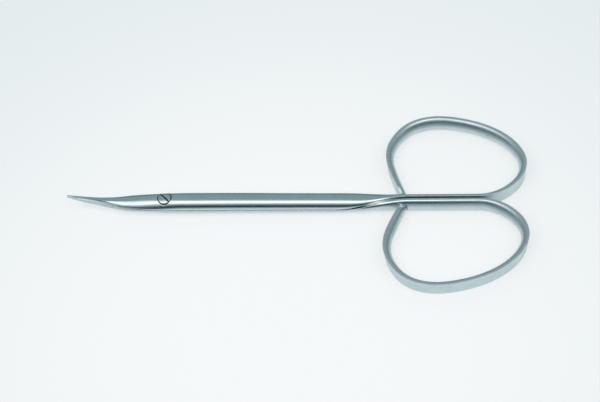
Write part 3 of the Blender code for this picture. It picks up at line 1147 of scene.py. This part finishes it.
def steel_material(name, groups, colours, roughness, grain, grain_turn=(0.0, 0.0, 0.0)):
    """Satin steel: drawn grain, bright worn edges, hairlines, soft clouds, and duller ends."""
    material, tree, shader = new_material(name)
    bar = add_node(tree, "ShaderNodeAttribute", "Bar place", attribute_name="bar").outputs["Vector"]
    edge = add_node(tree, "ShaderNodeAttribute", "Edge", attribute_name="edge")
    turned = add_node(tree, "ShaderNodeMapping", "Grain way", {"Vector": bar, "Rotation": grain_turn})
    lines = place_group(tree, groups["grain"], "Grain", turned.outputs["Vector"], **grain)["Height"]
    wear = place_group(tree, groups["wear"], "Edge wear", bar, Edge=edge.outputs["Fac"])
    hair = place_group(tree, groups["hair"], "Hairlines", bar)
    marks = place_group(tree, groups["marks"], "Handling", bar)

    clean, dull, bright = colours
    body = mix_colours(tree, "Cloudy steel", clean, dull, marks["Clouds"])
    worn = mix_colours(tree, "Bright edges", body, bright, wear["Mask"])

    rough = map_range(tree, "Cloud roughness", marks["Clouds"], target=roughness)
    grained = map_range(
        tree, "Grain roughness", lines, target=(-grain_extra_roughness, grain_extra_roughness)
    )
    scratched = map_range(
        tree, "Hairline roughness", hair["Mask"], target=(0.0, hairline_extra_roughness)
    )
    along = separate(tree, "Along the bar", bar)["X"]
    ring = map_range(
        tree, "Duller ring", along, ring_finish_run, (0.0, ring_extra_roughness), smooth=True
    )
    blade = map_range(tree, "Duller blade", along, blade_finish_run, (0.0, blade_extra_roughness))
    for label, extra in (
        ("Grain added", grained),
        ("Hairlines added", scratched),
        ("Ring added", ring),
        ("Blade added", blade),
    ):
        rough = calculate(tree, label, "ADD", rough, extra)

    waves = bump(tree, "Polishing waves", marks["Waves"], wave_relief_strength, wave_relief)
    relief = bump(tree, "Grain relief", lines, grain_relief_strength, grain_relief, Normal=waves)
    feed(tree, shader, {"Metallic": 1.0, "Base Color": worn, "Roughness": rough, "Normal": relief})
    return material


def screw_material(groups):
    """Screw steel, polished round its own axis."""
    material, tree, shader = new_material("screw_steel_finish")
    place = add_node(tree, "ShaderNodeTexCoord", "Object place")
    centred = add_node(
        tree, "ShaderNodeMapping", "On the pivot",
        {"Vector": place.outputs["Object"], "Location": (-pivot_x, 0.0, 0.0)},
    ).outputs["Vector"]
    rings = add_node(
        tree, "ShaderNodeTexWave", "Turning rings",
        {"Vector": centred, "Scale": screw_ring_scale, "Distortion": screw_ring_distortion},
        wave_type="RINGS", rings_direction="Z",
    ).outputs["Fac"]
    marks = place_group(tree, groups["marks"], "Handling", centred, **screw_marks)
    colour = mix_colours(tree, "Cloudy steel", *screw_colours, marks["Clouds"])
    ringed = map_range(tree, "Ring roughness", rings, target=screw_roughness)
    relief = bump(tree, "Ring relief", rings, relief_strength, screw_ring_relief)
    feed(tree, shader, {"Metallic": 1.0, "Base Color": colour, "Roughness": ringed, "Normal": relief})
    return material


def cloudy_material(name, groups, marks_sizes, colours, roughness, metallic=1.0, depth=0.0):
    """Uneven surface of two colours, which can have relief of some depth."""
    material, tree, shader = new_material(name)
    place = add_node(tree, "ShaderNodeTexCoord", "Object place").outputs["Object"]
    marks = place_group(tree, groups["marks"], "Marks", place, **marks_sizes)
    colour = mix_colours(tree, "Cloudy colour", *colours, marks["Clouds"])
    rough = map_range(tree, "Cloudy roughness", marks["Clouds"], target=roughness)
    feed(tree, shader, {"Metallic": metallic, "Base Color": colour, "Roughness": rough})
    if depth > 0:
        relief = bump(tree, "Run relief", marks["Waves"], relief_strength, depth)
        feed(tree, shader, {"Normal": relief})
    return material


def table_material():
    """Pale table top with a painted pool of light that falls off softly away from its bright middle, and
    painted shade and tint in what the metal reflects of it.
    """
    material, tree, shader = new_material("pale_table")
    place = add_node(tree, "ShaderNodeTexCoord", "Object place").outputs["Object"]
    # Painted pool of light: the table's colour is lightest round a middle point and falls off to a duller
    # colour outwards
    centred = add_node(
        tree, "ShaderNodeMapping", "Bright middle", {"Vector": place, "Location": table_painted_light_middle}
    )
    away = add_node(
        tree, "ShaderNodeVectorMath", "Away", {0: centred.outputs["Vector"]}, operation="LENGTH"
    )
    painted_falloff = map_range(tree, "Fall-off", away.outputs["Value"], table_painted_falloff_run, smooth=True)
    colour = mix_colours(tree, "Table colour", table_colour, table_painted_falloff_colour, painted_falloff)
    # Painted reflection and painted shade: to every ray but the camera's, as in the metal's reflections,
    # the table shows a cyan tint that darkens to a dark teal where it is seen at a low angle
    facing = add_node(tree, "ShaderNodeLayerWeight", "Turned away")
    painted_grazing_shade = map_range(
        tree, "Dimmer at a low angle", facing.outputs["Facing"],
        (1.0, 1.0 - table_painted_shade_facing), smooth=True,
    )
    mirrored = mix_colours(tree, "Mirrored table", table_painted_grazing_shade, table_painted_reflection_colour, painted_grazing_shade)
    path = add_node(tree, "ShaderNodeLightPath", "Light path").outputs
    shown = mix_colours(tree, "Shown table", mirrored, colour, path["Is Camera Ray"])
    matt = calculate_vector(tree, "Matt part", "SCALE", shown, table_matt_share)
    seen = calculate(tree, "Seen or mirrored", "MAXIMUM", path["Is Camera Ray"], path["Is Glossy Ray"])
    lift = calculate(tree, "White of the table", "MULTIPLY", seen, table_lift)
    fibre = noise(tree, "Fibre", place, table_fibre_scale)
    relief = bump(tree, "Fibre relief", fibre["Fac"], table_fibre_strength, table_fibre_relief)
    feed(tree, shader, {
        "Base Color": matt,
        "Roughness": table_roughness,
        "Specular IOR Level": table_specular,
        "Emission Color": shown,
        "Emission Strength": lift,
        "Normal": relief,
    })
    return material


# ---------------------------------------------------------------- studio

def make_table():
    """A wide table top just under the scissors."""
    mesh = bpy.data.meshes.new("table_top")
    corners = []
    for x, y in ((-1, -1), (1, -1), (1, 1), (-1, 1)):
        corners.append((x * table_reach, y * table_reach, -table_drop))
    mesh.from_pydata(corners, [], [(0, 1, 2, 3)])
    mesh.materials.append(table_material())
    table = show("table_top", mesh)


def colour_ramp(tree, label, share, stops):
    """Colour along a ramp, with stops given as (degrees over the front, colour)."""
    node = add_node(tree, "ShaderNodeValToRGB", label, {"Fac": share})
    elements = node.color_ramp.elements
    for element, (degrees, colour) in zip(elements, (stops[0], stops[-1])):
        element.position = degrees / 180
        element.color = (*colour, 1.0)
    for degrees, colour in stops[1:-1]:
        elements.new(degrees / 180).color = (*colour, 1.0)
    return node.outputs["Color"]


def make_world():
    """A room with a wide soft glow over the near side, grey behind, and dark low down in front."""
    world = bpy.data.worlds.new("studio_room")
    world.use_nodes = True
    bpy.context.scene.world = world
    tree = world.node_tree
    way = add_node(tree, "ShaderNodeTexCoord", "Direction").outputs["Generated"]
    split = separate(tree, "Parts", way)
    front = calculate(tree, "To the front", "MULTIPLY", split["Y"], -1.0)
    angle = calculate(tree, "Angle over the front", "ARCTAN2", split["Z"], front)
    share = map_range(tree, "Share of half a turn", angle, (0.0, math.pi))
    room = colour_ramp(tree, "Room brightness", share, room_stops)
    white_stops = [(degrees, (white,) * 3) for degrees, white in glow_stops]
    glow = colour_ramp(tree, "Glow across the front", share, white_stops)
    sideways = calculate(tree, "Sideways", "ABSOLUTE", split["X"])
    ends = map_range(
        tree, "Glow's ends", sideways, glow_end_sines,
        (glow_strength, glow_strength * glow_end_share), smooth=True,
    )
    scaled = calculate_vector(tree, "Glow", "SCALE", glow, ends)
    total = calculate_vector(tree, "Room and glow", "ADD", room, scaled)
    horizon = map_range(
        tree, "Dark horizon", split["Z"], (0.0, horizon_top_sine), (horizon_share, 1.0), smooth=True
    )
    darkened = calculate_vector(tree, "Darkened low down", "SCALE", total, horizon)
    feed(tree, tree.nodes["Background"], {"Color": darkened})


def make_softbox():
    """A wide softbox over the near side."""
    lamp = bpy.data.lights.new("softbox", "AREA")
    lamp.shape = "RECTANGLE"
    lamp.size, lamp.size_y = softbox_size
    lamp.energy = softbox_watts
    elevation = math.radians(softbox_elevation_degrees)
    thing = show("softbox", lamp)
    away = Vector((0.0, -math.cos(elevation), math.sin(elevation)))
    thing.location = away * softbox_distance
    thing.rotation_euler = (math.pi / 2 - elevation, 0.0, 0.0)


def make_camera():
    """Camera at the photograph's place, with its small roll."""
    camera = bpy.data.cameras.new("photo_camera")
    camera.lens = camera_lens
    camera.sensor_width = camera_sensor
    camera.clip_start, camera.clip_end = camera_clip
    back = Vector((
        math.sin(camera_azimuth) * math.cos(camera_elevation),
        -math.cos(camera_azimuth) * math.cos(camera_elevation),
        math.sin(camera_elevation),
    ))
    right = Vector((math.cos(camera_azimuth), math.sin(camera_azimuth), 0.0))
    up = back.cross(right)
    rolled_right = right * math.cos(camera_roll) + up * math.sin(camera_roll)
    rolled_up = up * math.cos(camera_roll) - right * math.sin(camera_roll)
    turn = Matrix((rolled_right, rolled_up, back)).transposed().to_4x4()
    thing = show("photo_camera", camera)
    thing.matrix_world = Matrix.Translation(Vector(camera_target) + back * camera_distance) @ turn
    bpy.context.scene.camera = thing


# ---------------------------------------------------------------- everything put together

bpy.context.scene.view_settings.view_transform = "Standard"
make_camera()
make_softbox()
make_world()
make_table()

surface_groups = {
    "grain": drawn_grain_group(),
    "wear": edge_wear_group(),
    "hair": hairline_group(),
    "marks": handling_group(),
}
satin_steel = steel_material("satin_steel", surface_groups, satin_colours, satin_roughness, satin_grain)
# Ground flats: rougher ground steel, far lighter in colour as painted light on the flat faces
ground_flats_painted_light = steel_material(
    "ground_flats_painted_light", surface_groups, ground_painted_light_colours, ground_roughness, ground_grain, ground_grain_turn
)
screw_steel = screw_material(surface_groups)
# Dark oil residue with painted shade, for the deep faces of the screw's slot and hole
pivot_oil_and_shade = cloudy_material(
    "pivot_oil_and_shade", surface_groups, oil_and_shade_marks, oil_and_shade_colours, oil_and_shade_roughness, oil_and_shade_metallic
)
silver_braze = cloudy_material(
    "silver_braze_finish", surface_groups, braze_marks, braze_colours, braze_roughness, depth=braze_relief
)

ribbon_tree = bent_ribbon_tree()
ribbon_section = section_object()
for name, side, body in (("upper_half", 1, "upper"), ("lower_half", -1, "lower")):
    make_half(name, side, body, ribbon_tree, ribbon_section, satin_steel, ground_flats_painted_light, pivot_oil_and_shade)
bpy.data.objects.remove(ribbon_section, do_unlink=True)
make_screw(screw_steel, pivot_oil_and_shade)
make_braze("upper_ring_braze", 1, "upper", silver_braze)
make_braze("lower_ring_braze", -1, "lower", silver_braze)
